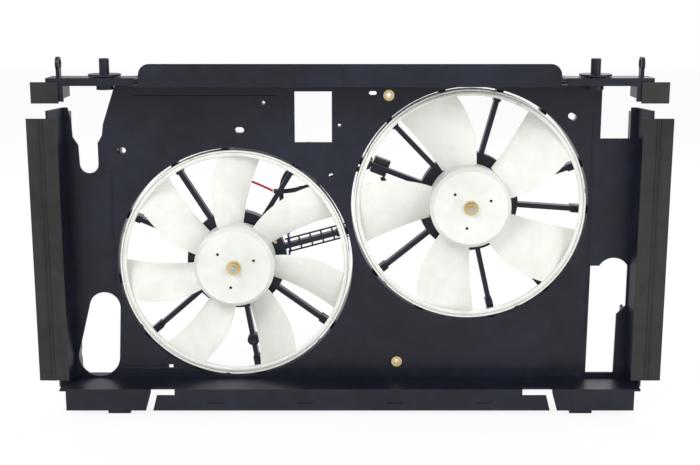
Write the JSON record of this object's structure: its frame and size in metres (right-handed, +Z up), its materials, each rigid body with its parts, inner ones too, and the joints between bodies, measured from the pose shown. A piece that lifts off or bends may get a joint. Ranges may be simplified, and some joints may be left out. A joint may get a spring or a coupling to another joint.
{
  "type": "radiator cooling fan",
  "caption": "Twin radiator cooling fan: a wide moulded shroud with a ringed fan in each round opening, each turned by a flat motor on a spoked carrier.",
  "frame": {"origin": "midway between the two upper location pins, at the height of their seats", "axes": "+X to the right seen from the radiator side, +Y to the rear (motor side), +Z up"},
  "size_m": [0.832, 0.1228, 0.476],
  "materials": {
    "shroud_plastic": "satin moulded grain",
    "seal_rubber": "matt",
    "fan_plastic": "satin translucent",
    "zinc_plate": "bright zinc",
    "brass": "turned",
    "plated_screws": "yellow zinc",
    "steel": "ground",
    "black_paint": "semi-gloss",
    "ferrite": "matt",
    "carbon": "matt",
    "red_wire": "satin",
    "white_wire": "satin",
    "blue_wire": "satin",
    "sheath_plastic": "satin",
    "connector_plastic": "satin"
  },
  "bodies": {
    "shroud": {"bottom_rail": "shroud_plastic", "compression_limiters": "brass", "harness_bracket": "shroud_plastic", "harness_connector": "connector_plastic", "left_barrel": "shroud_plastic", "left_blue_lead": "blue_wire", "left_brush_holder": "connector_plastic", "left_connector": "connector_plastic", "left_front_bearing": "steel", "left_loop_sheath": "sheath_plastic", "left_magnets": "ferrite", "left_motor_can": "black_paint", "left_motor_carrier": "shroud_plastic", "left_motor_cover": "zinc_plate", "left_motor_screws": "plated_screws", "left_rear_bearing": "steel", "left_red_lead": "red_wire", "left_side_seal": "seal_rubber", "left_side_wall": "shroud_plastic", "left_terminal_block": "connector_plastic", "left_trunk_sheath": "sheath_plastic", "left_white_lead": "white_wire", "lower_left_foot": "shroud_plastic", "lower_right_foot": "shroud_plastic", "panel_ribs": "shroud_plastic", "right_barrel": "shroud_plastic", "right_brush_holder": "connector_plastic", "right_front_bearing": "steel", "right_magnets": "ferrite", "right_motor_can": "black_paint", "right_motor_carrier": "shroud_plastic", "right_motor_cover": "zinc_plate", "right_motor_screws": "plated_screws", "right_rear_bearing": "steel", "right_red_lead": "red_wire", "right_sheath": "sheath_plastic", "right_side_seal": "seal_rubber", "right_side_wall": "shroud_plastic", "right_terminal_block": "connector_plastic", "right_white_lead": "white_wire", "shroud_panel": "shroud_plastic", "top_rail": "shroud_plastic", "upper_left_arm": "shroud_plastic", "upper_left_seal_block": "seal_rubber", "upper_right_arm": "shroud_plastic", "upper_right_seal_block": "seal_rubber"},
    "left_rotor": {"left_fan_hub": "fan_plastic", "left_fan_blades": "fan_plastic", "left_fan_ring": "fan_plastic", "left_fan_nut": "brass", "left_motor_shaft": "steel", "left_armature": "steel", "left_commutator": "brass"},
    "right_rotor": {"right_fan_hub": "fan_plastic", "right_fan_blades": "fan_plastic", "right_fan_ring": "fan_plastic", "right_fan_nut": "brass", "right_motor_shaft": "steel", "right_armature": "steel", "right_commutator": "brass"}
  },
  "joints": [
    {"name": "left_fan_spin", "type": "hinge", "parent": "shroud", "child": "left_rotor", "pos_m": [-0.155, 0.025, -0.258], "axis": [0, 1, 0], "continuous": true},
    {"name": "right_fan_spin", "type": "hinge", "parent": "shroud", "child": "right_rotor", "pos_m": [0.16, 0.025, -0.177], "axis": [0, 1, 0], "continuous": true}
  ]
}
